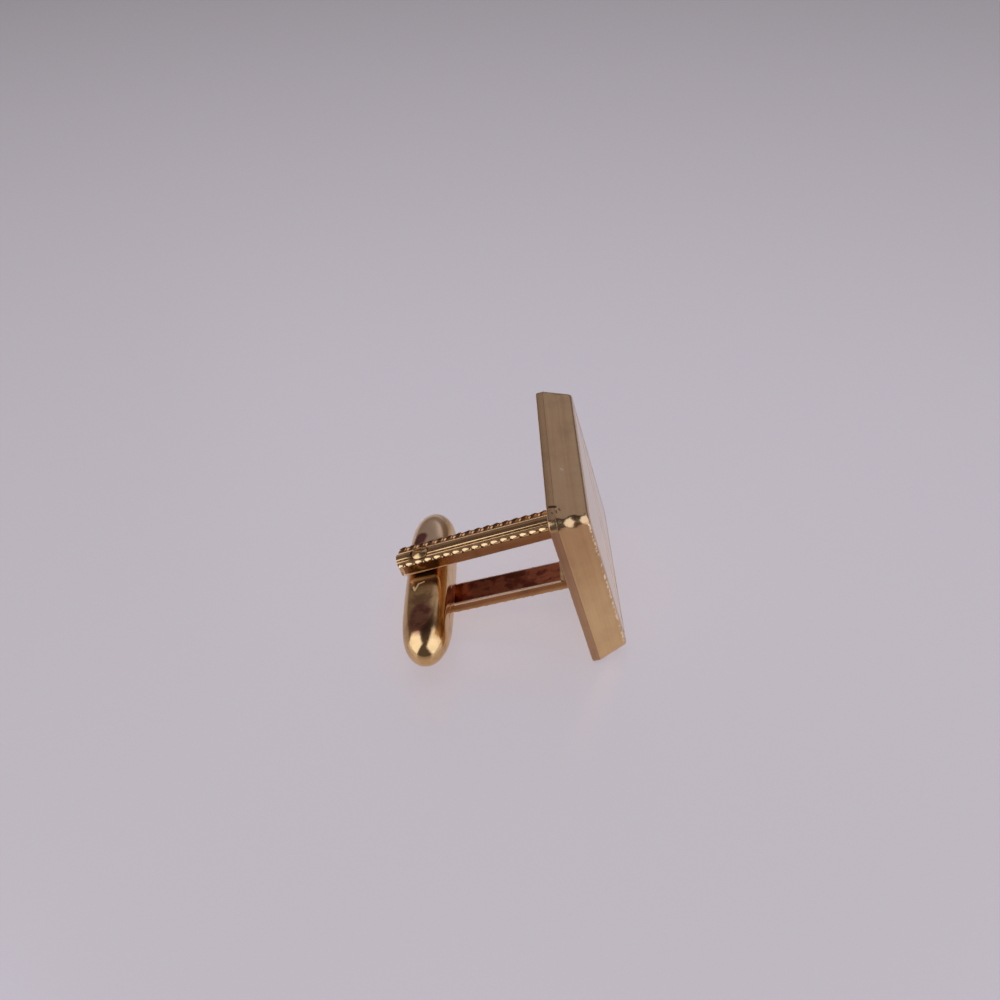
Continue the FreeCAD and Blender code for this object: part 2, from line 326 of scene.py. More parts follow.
def addTarnishAndShade(tree, point, colour, tarnishAndShade):
    # a red-brown film on the faces that look in towards the pivot's level, between the legs, partly tarnish
    # and partly painted shade, with tarnish blotches and deeper painted shade on the lower leg; a painted
    # shade film on the side walls that thins at the lower rim into a painted highlight; and bare worn metal
    # along the inner edges, lightened as a painted highlight
    x, y, z = axesOf(tree, point)
    level = calc(tree, "SUBTRACT", z, tarnishAndShade["level"])
    off = calc(tree, "ABSOLUTE", level)
    aside = calc(tree, "ABSOLUTE", calc(tree, "SUBTRACT", y, tarnishAndShade["middle"]))
    leg = spread(tree, x, tarnishAndShade["base"] + tarnishAndShade["fade"], tarnishAndShade["base"])
    inside = calc(tree, "MULTIPLY", leg, spread(tree, off, tarnishAndShade["reach"], tarnishAndShade["reach"] - tarnishAndShade["fade"]))
    wallInner = tarnishAndShade["wall"] - tarnishAndShade["wallFade"]
    wall = product(tree, spread(tree, aside, wallInner, tarnishAndShade["wall"]), calc(tree, "SUBTRACT", 1.0, inside),
                   spread(tree, level, tarnishAndShade["rimLow"], tarnishAndShade["rimHigh"], tarnishAndShade["rimShare"], 1.0))
    lower = calc(tree, "MULTIPLY", inside, spread(tree, level, tarnishAndShade["levelFade"], -tarnishAndShade["levelFade"]))
    deep = calc(tree, "MULTIPLY", lower, spread(tree, x, tarnishAndShade["tip"], tarnishAndShade["root"], 1.0, 0.0))
    cloud = noise(tree, point, tarnishAndShade["blotchScale"], tarnishAndShade["blotchDetail"])["Fac"]
    blotch = calc(tree, "MULTIPLY", lower, spread(tree, cloud, *tarnishAndShade["blotches"]))
    for share, film in ((inside, "film"), (lower, "lowerFilm"), (deep, "deepFilm"), (blotch, "blotchFilm"),
                        (wall, "wallFilm")):
        colour = mixColour(tree, share, colour, tarnishAndShade[film], "MULTIPLY")
    # worn bare inner edges, lightened as a painted highlight
    edge = calc(tree, "MULTIPLY", inside, spread(tree, aside, tarnishAndShade["wall"] - tarnishAndShade["edgeWidth"], wallInner))
    return mixColour(tree, edge, colour, tarnishAndShade["edgeTint"]), edge


def strokeShare(tree, x, y, first, last, wide):
    # 1 within a straight stroke seen along Z, fading to 0 at its half width
    reach = Vector(last) - Vector(first)
    offX = calc(tree, "SUBTRACT", x, first[0])
    offY = calc(tree, "SUBTRACT", y, first[1])
    dot = calc(tree, "MULTIPLY_ADD", offX, reach.x / reach.length_squared,
               calc(tree, "MULTIPLY", offY, reach.y / reach.length_squared))
    along = calc(tree, "MINIMUM", calc(tree, "MAXIMUM", dot, 0.0), 1.0)
    awayX = calc(tree, "MULTIPLY_ADD", along, -reach.x, offX)
    awayY = calc(tree, "MULTIPLY_ADD", along, -reach.y, offY)
    away = calc(tree, "SQRT", calc(tree, "MULTIPLY_ADD", awayX, awayX, calc(tree, "MULTIPLY", awayY, awayY)))
    return spread(tree, away, wide, wide / 2)


def addStrokes(tree, point, colour, strokes):
    # marks, painted highlights and painted shade on the upward side, as strokes: from, to, half width, tint
    # and the way it is mixed in
    x, y, z = axesOf(tree, point)
    upward = spread(tree, z, strokes["level"], strokes["level"] + strokes["fade"])
    marked = 0.0
    for first, last, wide, tint, kind in strokes["lines"]:
        share = calc(tree, "MULTIPLY", strokeShare(tree, x, y, first, last, wide), upward)
        colour = mixColour(tree, share, colour, tint, kind)
        marked = calc(tree, "MAXIMUM", marked, share)
    return colour, marked


def addFlats(tree, point, colour, flats):
    # the toggle's upper and lower flats are rubbed dull, with dark blotches
    off = calc(tree, "ABSOLUTE", calc(tree, "SUBTRACT", axesOf(tree, point)[2], flats["level"]))
    flat = spread(tree, off, flats["half"] - flats["fade"], flats["half"])
    cloud = noise(tree, point, flats["blotchScale"], flats["blotchDetail"])["Fac"]
    dark = calc(tree, "MULTIPLY", flat, spread(tree, cloud, *flats["blotches"]))
    return mixColour(tree, dark, colour, flats["tint"], "MULTIPLY"), flat


def addFarShade(tree, point, colour, film):
    # the rows on the far edge are painted darker, painted shade where they face away from the light
    far = spread(tree, axesOf(tree, point)[1], film["from"], film["from"] + film["fade"])
    return mixColour(tree, far, colour, film["tint"], "MULTIPLY"), far


def wallLean(tree, x):
    # how far the case's walls have leaned in at this depth, in millimetres
    node = addNode(tree, "ShaderNodeMapRange", {
        "Value": x, "From Min": shellLow.x / mm, "From Max": 0.0, "To Min": 0.0, "To Max": caseLean / mm})
    return node.outputs["Result"]


def addNearSide(tree, point, colour, look):
    # the near side wall: a tint over the whole side, painted light on the case; darker and redder towards the
    # top, painted shade on the case; with bright rubbed spots along the front edge that carry a painted
    # highlight
    x, y, z = axesOf(tree, point)
    out = calc(tree, "SUBTRACT", wallLean(tree, x), y)
    near = calc(tree, "MULTIPLY", spread(tree, out, look["wall"] - look["fade"], look["wall"]),
                spread(tree, z, look["top"], look["top"] - look["topFade"]))
    speck = noise(tree, point, look["speckScale"], look["speckDetail"])["Fac"]
    # bright specks along the front edge: rubbed wear with a painted highlight sparkle
    rubSparkle = product(tree, spread(tree, x, look["rubFrom"], look["rubFull"]),
                  spread(tree, speck, *look["specks"]), near)
    # darker and redder towards the top: painted shade on the case's near wall
    topDark = calc(tree, "MULTIPLY", near, spread(tree, z, look["warmFrom"], look["warmFull"]))
    colour = mixColour(tree, near, colour, look["nearTint"], "MULTIPLY")
    colour = mixColour(tree, topDark, colour, look["warmTint"], "MULTIPLY")
    return mixColour(tree, rubSparkle, colour, look["rubTint"])


def addDents(tree, point, normal, dents):
    # a row of soft knocks along each long corner, which leans in with the walls
    x, y, z = axesOf(tree, point)
    inset = wallLean(tree, x)
    sideways = calc(tree, "ADD", calc(tree, "ABSOLUTE", y), inset)
    upright = calc(tree, "ADD", calc(tree, "ABSOLUTE", z), inset)
    turn = calc(tree, "MULTIPLY", calc(tree, "SUBTRACT", x, dents["wavePlace"]), 2 * math.pi / dents["wave"])
    dips = product(tree, calc(tree, "SINE", turn), dents["depth"],
                   spread(tree, sideways, dents["side"] - dents["fade"], dents["side"]),
                   spread(tree, upright, dents["top"] - dents["fade"], dents["top"]))
    links = {"Height": dips, "Strength": 1.0, "Distance": mm, "Normal": normal}
    return addNode(tree, "ShaderNodeBump", links).outputs["Normal"]


def makeGold(name, look):
    material = bpy.data.materials.new(name)
    material.use_nodes = True
    tree = material.node_tree
    tree.nodes.clear()
    out = tree.nodes.new("ShaderNodeOutputMaterial")
    metal = addNode(tree, "ShaderNodeBsdfPrincipled", {"Metallic": 1.0})
    tree.links.new(metal.outputs["BSDF"], out.inputs["Surface"])
    where = tree.nodes.new("ShaderNodeTexCoord")
    point = vectorCalc(tree, "SCALE", where.outputs["Object"], 1 / mm)
    lines = addNode(tree, "ShaderNodeGroup", {"Point": point, "Stretch": look["stretch"]},
                    node_tree=brushLines)
    dull = addNode(tree, "ShaderNodeGroup", {
        "Point": point, "Metal": (*look["metal"], 1.0), "Tarnish": (*look["tarnish"], 1.0),
        "Hollows": look["hollows"], "Patches": look["patches"], "Patch Size": look["patchSize"],
    }, node_tree=tarnish)
    # streaks along the brushing darken the metal a little
    streak = calc(tree, "MULTIPLY", lines.outputs["Streaks"], look["streaks"])
    colour = mixColour(tree, streak, dull.outputs["Color"], look["streakTint"], "MULTIPLY")
    rough = calc(tree, "MULTIPLY_ADD", lines.outputs["Lines"], look["lineRough"], look["roughness"])
    rough = calc(tree, "MULTIPLY_ADD", dull.outputs["Mask"], look["tarnishRough"], rough)
    if "nearSide" in look:
        colour = addNearSide(tree, point, colour, look["nearSide"])
    # wear, tarnish, painted shade and painted highlights, each with its own added roughness
    for key, add in (("tarnishAndShade", addTarnishAndShade), ("flats", addFlats), ("farShade", addFarShade),
                     ("shadeAndSheen", addStrokes), ("strokes", addStrokes)):
        if key in look:
            colour, wearAndShade = add(tree, point, colour, look[key])
            rough = calc(tree, "MULTIPLY_ADD", wearAndShade, look[key]["wornRough"], rough)
    scratch = addNode(tree, "ShaderNodeGroup", {"Point": point, "Fineness": look["scratchFineness"]},
                      node_tree=hairScratches)
    height = calc(tree, "MULTIPLY_ADD", lines.outputs["Lines"], look["lineDepth"],
                  calc(tree, "MULTIPLY", scratch.outputs["Height"], look["scratchDepth"]))
    links = {"Height": height, "Strength": look["bump"], "Distance": look["bumpDistance"]}
    normal = addNode(tree, "ShaderNodeBump", links).outputs["Normal"]
    if "dents" in look:
        normal = addDents(tree, point, normal, look["dents"])
    for socket, value in (("Base Color", colour), ("Roughness", rough), ("Normal", normal)):
        tree.links.new(value, metal.inputs[socket])
    return material


polished = {
    "metal": (0.74, 0.47, 0.205), "tarnish": (0.16, 0.055, 0.022),
    "hollows": 0.75, "patches": 0.15, "patchSize": 2.5,
    "stretch": (1.2, 4.0, 1.2), "streaks": 0.10, "streakTint": (0.66, 0.54, 0.42),
    "roughness": 0.05, "lineRough": 0.05, "tarnishRough": 0.16,
    "scratchFineness": 1.0, "lineDepth": 0.20, "scratchDepth": 0.4, "bump": 0.10, "bumpDistance": 0.02 * mm,
}
brushed = dict(polished, stretch=(14.0, 0.22, 0.22), streaks=0.25, lineRough=0.14, lineDepth=1.0, bump=0.28)
# leg strip: a film between the legs, partly tarnish and partly painted shade, deeper painted shade on the
# lower leg, painted shade on the side walls, and worn inner edges lightened as a painted highlight
legTarnishAndShade = {
    "level": pivot.z / mm, "levelFade": 1.0, "middle": pivot.y / mm, "reach": 2.62, "fade": 0.16,
    "tip": -14.5, "root": -6.0, "base": -4.7, "film": (0.88, 0.60, 0.54),
    "lowerFilm": (0.64, 0.45, 0.46), "deepFilm": (0.78, 0.68, 0.66),
    "blotchScale": 0.9, "blotchDetail": 4.0, "blotches": (0.45, 0.60), "blotchFilm": (0.45, 0.34, 0.36),
    "wall": (legHigh.y - pivot.y) / mm - 0.02, "wallFade": 0.06, "wallFilm": (0.42, 0.30, 0.27),
    "rimLow": -3.4, "rimHigh": -2.9, "rimShare": 0.45,
    "edgeWidth": 0.20, "edgeTint": (0.95, 0.70, 0.48), "wornRough": 0.3,
}
caseDents = {
    "fade": 0.40, "side": 9.75, "top": 8.05, "wave": 1.35, "wavePlace": -0.28, "depth": -0.055,
}
nick = (0.22, 0.18, 0.16)
fleck = (0.50, 0.45, 0.42)
glint = (0.80, 0.62, 0.42)
caseStrokes = {"level": 7.0, "fade": 0.2, "wornRough": 0.1, "lines": [
    ((-2.98, -7.82), (-2.55, -7.93), 0.20, nick, "MULTIPLY"),
    ((-2.25, -8.20), (-2.18, -8.40), 0.10, fleck, "MULTIPLY"),
    ((-2.86, -8.60), (-2.80, -8.75), 0.09, fleck, "MULTIPLY"),
    ((-2.50, -8.45), (-2.46, -8.70), 0.09, fleck, "MULTIPLY"),
    ((-1.70, -2.70), (-1.62, -2.95), 0.12, glint, "MIX"),
]}
# the case's near wall is painted lighter, painted light, and darker at the top, painted shade
nearSide = {
    "wall": caseSize.y / 2 / mm - 0.06, "fade": 0.08, "top": 7.9, "topFade": 0.3,
    "nearTint": (1.20, 1.20, 1.18), "rubFrom": -0.30, "rubFull": -0.10, "rubTint": (0.94, 0.74, 0.46),
    "speckScale": 2.6, "speckDetail": 2.0, "specks": (0.45, 0.58),
    "warmFrom": -3.0, "warmFull": 6.0, "warmTint": (0.78, 0.70, 0.68),
}
# the back plate's near band is made darker overall and darker still towards the top
backSide = dict(nearSide, nearTint=(0.78, 0.72, 0.80), warmTint=(0.80, 0.72, 0.72))
tick = (1.0, 0.74, 0.36)
toggleStrokes = {"level": pivot.z / mm + 1.5, "fade": 0.2, "wornRough": 0.45, "lines": [
    ((-17.33, -5.51), (-17.19, -6.01), 0.11, tick, "MIX"),
    ((-17.19, -6.01), (-16.86, -5.26), 0.11, tick, "MIX"),
    ((-16.86, -5.26), (-16.35, -5.12), 0.10, tick, "MIX"),
]}
# painted reflections on the toggle's upper flat: a painted highlight on the far end, and painted shade in a
# patch by the far end and in a band above the nose
toggleShadeAndSheen = {"level": pivot.z / mm + 1.4, "fade": 0.2, "wornRough": 0.06, "lines": [
    ((-16.20, 1.6), (-16.10, 4.0), 1.9, (0.98, 0.70, 0.42), "MIX"),
    ((-17.25, 0.1), (-16.85, 1.3), 0.75, (0.30, 0.16, 0.20), "MULTIPLY"),
    ((-16.52, -8.9), (-16.60, -10.4), 1.30, (0.55, 0.38, 0.46), "MULTIPLY"),
]}
toggleFlats = {
    "level": pivot.z / mm, "half": 1.99, "fade": 0.08, "tint": (0.62, 0.52, 0.56), "wornRough": 0.13,
    "blotchScale": 0.75, "blotchDetail": 4.0, "blotches": (0.45, 0.62),
}
# painted shade on the far milgrain rows
farShade = {"from": pivot.y / mm, "fade": 0.1, "tint": (0.62, 0.46, 0.42), "wornRough": 0.04}
caseGold = dict(brushed, metal=(0.62, 0.405, 0.20), roughness=0.16, scratchDepth=0.08, strokes=caseStrokes)
goldWall = makeGold("brushed_case_gold", dict(caseGold, dents=caseDents, nearSide=nearSide))
goldBack = makeGold("back_plate_gold", dict(caseGold, metal=(0.66, 0.43, 0.21), nearSide=backSide))
goldFace = makeGold("face_gold", dict(polished, roughness=0.03, scratchDepth=0.06))
goldLeg = makeGold("milgrain_gold", dict(
    polished, metal=(0.80, 0.50, 0.225), hollows=0.95, patches=0.28, patchSize=1.2,
    stretch=(0.25, 14.0, 14.0), streaks=0.38, roughness=0.10, tarnishAndShade=legTarnishAndShade))
goldBead = makeGold("bead_gold", dict(
    polished, metal=(0.78, 0.51, 0.24), hollows=0.7, patches=0.2, patchSize=1.2, roughness=0.08,
    farShade=farShade))
goldToggle = makeGold("toggle_gold", dict(
    polished, patches=0.42, patchSize=1.8, roughness=0.08,
    flats=toggleFlats, shadeAndSheen=toggleShadeAndSheen, strokes=toggleStrokes))
goldPin = makeGold("pin_gold", dict(polished, roughness=0.20))
springSteel = makeGold("spring_steel", dict(polished, metal=(0.55, 0.55, 0.56), tarnish=(0.25, 0.2, 0.16)))
print("materials made:", len(bpy.data.materials))


# case: shell, back plate and face panel

caseLook = {
    "cornerRadius": 0.8 * mm, "innerCornerRadius": 0.4 * mm, "recessCornerRadius": 0.35 * mm,
    "rimWidth": 0.9 * mm, "rimShare": 0.9, "recessDepth": 0.5 * mm, "seatThickness": 0.4 * mm,
    "wall": 0.5 * mm, "faceEdge": 0.3 * mm, "recessEdge": 0.10 * mm,
    "seamEdge": 0.02 * mm, "innerEdge": 0.05 * mm,
    "backEdge": 0.15 * mm, "stepHeight": 0.5 * mm, "stepClearance": 0.03 * mm,
    "panelBevel": 0.06 * mm, "panelWeld": 0.001 * mm, "panelFlat": math.radians(1), "arcSteps": 12,
}


def caseRing(x, inset, radius):
    steps = caseLook["arcSteps"]
    halfY = caseSize.y / 2 - inset - radius
    halfZ = caseSize.z / 2 - inset - radius
    ring = []
    for corner, (signY, signZ) in enumerate(((1, 1), (-1, 1), (-1, -1), (1, -1))):
        for step in range(steps + 1):
            angle = (corner + step / steps) * math.pi / 2
            y = signY * halfY + radius * math.cos(angle)
            z = signZ * halfZ + radius * math.sin(angle)
            ring.append((x, y, z))
    return ring


def caseSkin(name, corners, radiusAt):
    rings = [caseRing(x, inset, radiusAt(x, inset)) for x, inset in roundedLine(corners)]
    return addObject(name, meshFrom(skinRings(rings), name))


def wallInset(x):
    return caseLean * max(x - shellLow.x, 0) / (shellHigh.x - shellLow.x)


def shellRadius(x, inset):
    c = caseLook
    past = inset - wallInset(x)
    if past > c["rimWidth"] * c["rimShare"]:
        return c["recessCornerRadius"]
    return max(c["cornerRadius"] - past, c["innerCornerRadius"])


def plateRadius(x, inset):
    return max(caseLook["cornerRadius"] - inset, caseLook["innerCornerRadius"])


def makeShell():
    c = caseLook
    recess = caseLean + c["rimWidth"]
    floorX = shellHigh.x - c["recessDepth"]
    ceilingX = floorX - c["seatThickness"]
    corners = [
        (floorX, recess, 0),
        (shellHigh.x, recess, c["recessEdge"]),
        (shellHigh.x, caseLean, c["faceEdge"]),
        (shellLow.x, 0, c["seamEdge"]),
        (shellLow.x, c["wall"], c["innerEdge"]),
        (ceilingX, c["wall"] + wallInset(ceilingX), 0),
    ]
    return caseSkin("case_shell", corners, shellRadius)


def makePlate():
    c = caseLook
    step = c["wall"] + c["stepClearance"]
    corners = [
        (backX, c["backEdge"] * 2, 0),
        (backX, 0, c["backEdge"]),
        (shellLow.x, 0, c["seamEdge"]),
        (shellLow.x, step, 0),
        (shellLow.x + c["stepHeight"], step + wallInset(shellLow.x + c["stepHeight"]), 0),
    ]
    return caseSkin("case_back", corners, plateRadius)


def makePanel():
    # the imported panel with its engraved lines, welded and given soft edges
    mesh = frame["nodes"]["face_panel"].data.copy()
    bm = bmesh.new()
    bm.from_mesh(mesh)
    bmesh.ops.remove_doubles(bm, verts=bm.verts, dist=caseLook["panelWeld"])
    bmesh.ops.dissolve_limit(bm, angle_limit=caseLook["panelFlat"], verts=bm.verts, edges=bm.edges)
    bm.to_mesh(mesh)
    bm.free()
    mesh.name = "face_plate"
    return addObject("face_plate", mesh)


shell = makeShell()
smoothPiece(shell)
settle(shell, "case_and_post", "case_gold", goldWall, "front_shell")
plate = makePlate()
smoothPiece(plate)
settle(plate, "case_and_post", "case_gold", goldBack, "back_plate")
panel = makePanel()
smoothPiece(panel, bevel=caseLook["panelBevel"])
settle(panel, "case_and_post", "panel_gold", goldFace, "face_panel")


# sizes of the toggle, which stands at a slight turn from square

barLook = {
    "Length": 19.0 * mm, "Diameter": 4.72 * mm, "Fullness": 4.6, "Across Flats": 4.02 * mm,
    "Wall": 0.5 * mm, "Hollow": 14.4 * mm, "Softness": 0.34 * mm, "Seam": 0.015 * mm, "Seam Width": 0.06 * mm,
    "Overhang": 0.73 * mm, "Turn": math.radians(-1.8),
}
barMesh = {"around": 192, "along": 176, "weld": 0.002 * mm, "holeClearance": 0.03 * mm}


# leg bracket: one strip swept round the base and both legs, ribbed outside, with a milgrain row on each edge

legLook = {
    "innerHalf": 2.34 * mm, "splay": {1: 0.46 * mm, -1: 0.10 * mm}, "ground": 1.12 * mm, "pattern": 0.26 * mm,
    "cornerRadius": 0.2 * mm, "cornerSteps": 12,
    "ribHalf": 0.43 * mm, "ribEdge": 0.14 * mm, "ribCrown": 0.09 * mm,
    "lineOut": 0.56 * mm, "lineHeight": 0.07 * mm, "rowWidth": 0.68 * mm, "grooveDepth": 0.06 * mm,
    "wallEdge": 0.05 * mm, "innerEdge": 0.10 * mm,
    "edgeDrop": 0.09 * mm, "edgeIn": 0.07 * mm, "profileStep": 0.12 * mm, "base": 0.82 * mm,
    "tipBulge": 0.3 * mm, "tipCorner": 0.4 * mm, "tipBevel": 0.05 * mm,
    "seatDepth": 0.05 * mm, "seatClearance": 0.08 * mm, "holeClearance": 0.01 * mm,
}
beadLook = {
    "count": 17, "length": 1.04 * mm, "face": 0.70 * mm, "depth": 0.58 * mm, "lean": math.radians(47),
    "twist": math.radians(-20), "squareness": 2.9, "steps": 14, "wobble": 0.03, "seed": 7,
    "edgeIn": {1: 0.23 * mm, -1: 0.29 * mm}, "sink": {1: 0.19 * mm, -1: 0.20 * mm}, "within": 0.015 * mm,
}
legHalf = (legHigh.y - legLow.y) / 2


def legSlope(side):
    return legLook["splay"][side] / (backX - pivot.x)


def legHeight(x, height, side):
    # distance from the pivot's level of a layer of one leg, which leans out a little towards the case
    return legLook["innerHalf"] + (x - pivot.x) * legSlope(side) + height


def subdivided(line, step):
    made = [line[0]]
    for a, b in zip(line, line[1:]):
        pieces = max(1, math.ceil((b - a).length / step))
        made += [a.lerp(b, piece / pieces) for piece in range(1, pieces + 1)]
    return made


def stripProfile():
    g = legLook
    top = g["ground"] + g["pattern"]
    rowIn = legHalf - g["rowWidth"]
    right = roundedLine([
        (0, 0, 0),
        (legHalf, 0, g["innerEdge"]),
        (legHalf, g["ground"] - g["edgeDrop"], g["wallEdge"]),
        (legHalf - g["edgeIn"], g["ground"], 0),
        (rowIn, g["ground"], 0),
        (rowIn - g["grooveDepth"], g["ground"] - g["grooveDepth"], 0),
        (g["lineOut"], g["ground"] + g["lineHeight"], g["ribEdge"] / 2),
        (g["ribHalf"] + g["ribEdge"] / 2, g["ground"], 0),
        (g["ribHalf"], top - g["ribCrown"], g["ribEdge"]),
        (0, top, 0),
    ], steps=4)
    right = subdivided(right, g["profileStep"])
    left = [Vector((-p.x, p.y)) for p in right[-2:0:-1]]
    return right + left


def tipSetback(w):
    # how far the strip's end stands back from its foremost point at this place across its width
    g = legLook
    bow = g["tipBulge"] * (w / legHalf) ** 2
    past = max(abs(w) - (legHalf - g["tipCorner"]), 0)
    return bow + g["tipCorner"] - math.sqrt(max(g["tipCorner"] ** 2 - past ** 2, 0))


def legRings(profile, side):
    # rings from a leg's tip to the middle of the base, drawn for an upward leg
    g = legLook
    slope = legSlope(side)
    bendX = backX - g["base"] - g["cornerRadius"]
    bendZ = legHeight(bendX, 0, side) - g["cornerRadius"]
    topZ = legHeight(bendX, g["ground"], side)
    cornerAngle = math.atan2(legHeight(backX, g["ground"], side) - bendZ, backX - bendX)
    lastAngle = math.pi / 2 + math.atan(slope)

    def onLeg(x, setback):
        return [Vector((x + setback * tipSetback(p.x), p.x, legHeight(x, p.y, side))) for p in profile]

    def onCorner(angle, pattern):
        # a ray from the middle of the inner corner's arc out to the square outer corner
        toLeg = (topZ - bendZ) / (math.sin(angle) - math.cos(angle) * slope)
        toBack = (backX - bendX) / max(math.cos(angle), nearZero)
        reach = toLeg if angle >= cornerAngle else toBack
        ring = []
        for p in profile:
            ray = g["cornerRadius"] + (reach - g["cornerRadius"]) * min(p.y / g["ground"], 1)
            over = max(p.y - g["ground"], 0) * pattern
            ring.append(Vector((bendX + ray * math.cos(angle), p.x, bendZ + ray * math.sin(angle) + over)))
        return ring

    rings = [onLeg(legLow.x, 1.0), onLeg(legLow.x + 2 * g["tipBulge"] + g["tipCorner"], 0.0)]
    steps = g["cornerSteps"]
    for step in range(steps + 1):
        rings.append(onCorner(lastAngle - (lastAngle - cornerAngle) * step / steps, 1.0))
    for step in range(steps + 1):
        rings.append(onCorner(cornerAngle * (1 - step / steps), 0.0))
    return rings


def makeStrip():
    profile = stripProfile()
    upper = legRings(profile, 1)
    lower = [[Vector((p.x, p.y, -p.z)) for p in ring] for ring in reversed(legRings(profile, -1))]
    shift = Vector((0, pivot.y, pivot.z))
    bm = skinRings([[p + shift for p in ring] for ring in upper + lower])
    bmesh.ops.triangulate(bm, faces=[f for f in bm.faces if len(f.verts) > 4])
    return addObject("leg_strip", meshFrom(bm, "leg_strip"))


def lathe(name, stations, steps=64, turn=0.0, cornerReach=1.34):
    # rings round the pivot pin; a station is (radius, height above the pivot, half width of a turned square
    # or 0), and the square's corners are cut off at cornerReach half widths
    rings = []
    for radius, height, square in stations:
        ring = []
        for step in range(steps):
            angle = 2 * math.pi * step / steps
            reach = radius
            if square > 0:
                facing = max(abs(math.cos(angle - turn)), abs(math.sin(angle - turn)))
                reach = square * min(1 / facing, cornerReach)
            ring.append(pivot + Vector((reach * math.cos(angle), reach * math.sin(angle), height)))
        rings.append(ring)
    return addObject(name, meshFrom(skinRings(rings), name))


def makeBeadTree():
    tree, start, end = newGroup("milgrainRow", [
        ("Rows", "NodeSocketGeometry", None),
        ("Count", "NodeSocketInt", None),
        ("Bead Size", "NodeSocketVector", None),
        ("Lean", "NodeSocketFloat", None),
        ("Twist", "NodeSocketFloat", None),
        ("Squareness", "NodeSocketFloat", None),
        ("Trim Low", "NodeSocketVector", None),
        ("Trim High", "NodeSocketVector", None),
        ("Wobble", "NodeSocketFloat", None),
        ("Seed", "NodeSocketInt", None),
        ("Finish", "NodeSocketMaterial", None),
    ], [("Beads", "NodeSocketGeometry")], "GeometryNodeTree")
    value = start.outputs
    path = addNode(tree, "GeometryNodeMeshToCurve", {"Mesh": value["Rows"]})
    places = addNode(tree, "GeometryNodeResampleCurve", {"Curve": path.outputs[0], "Count": value["Count"]},
                     mode="COUNT")
    along = tree.nodes.new("GeometryNodeInputTangent")
    facing = addNode(tree, "FunctionNodeAlignRotationToVector", {"Vector": along.outputs[0]},
                     axis="X", pivot_axis="Y")
    vary = addNode(tree, "FunctionNodeRandomValue", {"Seed": value["Seed"]}, data_type="FLOAT")
    floats = [s for s in vary.inputs if s.type == "VALUE"]
    tree.links.new(calc(tree, "SUBTRACT", 1.0, value["Wobble"]), floats[0])
    tree.links.new(calc(tree, "ADD", 1.0, value["Wobble"]), floats[1])
    varied = [s for s in vary.outputs if s.type == "VALUE"][0]
    # a cube's points drawn in to a rounded block, then turned so that one face leans out over the edge
    counts = {"Vertices " + axis: beadLook["steps"] for axis in "XYZ"}
    cube = addNode(tree, "GeometryNodeMeshCube", {"Size": (2.0, 2.0, 2.0), **counts})
    corner = tree.nodes.new("GeometryNodeInputPosition").outputs[0]
    total = 0.0
    for side in axesOf(tree, corner):
        raised = calc(tree, "POWER", calc(tree, "ABSOLUTE", side), value["Squareness"])
        total = calc(tree, "ADD", raised, total)
    draw = calc(tree, "POWER", total, calc(tree, "DIVIDE", -1.0, value["Squareness"]))
    block = addNode(tree, "GeometryNodeSetPosition", {
        "Geometry": cube.outputs["Mesh"], "Position": vectorCalc(tree, "SCALE", corner, draw)})
    tilt = addNode(tree, "ShaderNodeCombineXYZ", {"X": value["Lean"], "Z": value["Twist"]})
    bead = addNode(tree, "GeometryNodeTransform", {
        "Geometry": block.outputs[0], "Rotation": tilt.outputs[0], "Scale": value["Bead Size"]})
    placed = addNode(tree, "GeometryNodeInstanceOnPoints", {
        "Points": places.outputs[0], "Instance": bead.outputs[0],
        "Rotation": facing.outputs[0], "Scale": varied})
    real = addNode(tree, "GeometryNodeRealizeInstances", {"Geometry": placed.outputs[0]})
    spot = tree.nodes.new("GeometryNodeInputPosition").outputs[0]
    trim = vectorCalc(tree, "MAXIMUM", spot, value["Trim Low"])
    trim = vectorCalc(tree, "MINIMUM", trim, value["Trim High"])
    trimmed = addNode(tree, "GeometryNodeSetPosition", {"Geometry": real.outputs[0], "Position": trim})
    smooth = addNode(tree, "GeometryNodeSetShadeSmooth", {"Geometry": trimmed.outputs[0]})
    finish = addNode(tree, "GeometryNodeSetMaterial", {
        "Geometry": smooth.outputs[0], "Material": value["Finish"]})
    tree.links.new(finish.outputs[0], end.inputs["Beads"])
    return tree


def setInputs(modifier, values):
    for item in modifier.node_group.interface.items_tree:
        if item.item_type == "SOCKET" and item.in_out == "INPUT" and item.name in values:
            modifier[item.identifier] = values[item.name]


def makeBeads():
    g = legLook
    pitch = (backX - legLow.x) / beadLook["count"]
    firstX = legLow.x + pitch / 2
    lastX = backX - pitch / 2
    bm = bmesh.new()
    for side in (-1, 1):
        across = legHalf - beadLook["edgeIn"][side]
        for edge in (-1, 1):
            # the direction in which a row is drawn sets the side to which its beads lean
            ends = []
            for x in (firstX, lastX) if side != edge else (lastX, firstX):
                z = pivot.z + side * legHeight(x, g["ground"] - beadLook["sink"][side], side)
                ends.append(bm.verts.new((x, pivot.y + edge * across, z)))
            bm.edges.new(ends)
    rows = addObject("milgrain_rows", meshFrom(bm, "milgrain_rows"))
    modifier = rows.modifiers.new("beads", "NODES")
    modifier.node_group = makeBeadTree()
    setInputs(modifier, {
        "Count": beadLook["count"], "Wobble": beadLook["wobble"], "Seed": beadLook["seed"],
        "Bead Size": (beadLook["length"] / 2, beadLook["face"] / 2, beadLook["depth"] / 2),
        "Finish": goldBead,
        "Lean": beadLook["lean"], "Twist": beadLook["twist"], "Squareness": beadLook["squareness"],
        "Trim Low": (legLow.x + g["tipBulge"], pivot.y - legHalf + beadLook["within"], legLow.z),
        "Trim High": (backX, pivot.y + legHalf - beadLook["within"], legHigh.z)})
    bake(rows)
    return rows


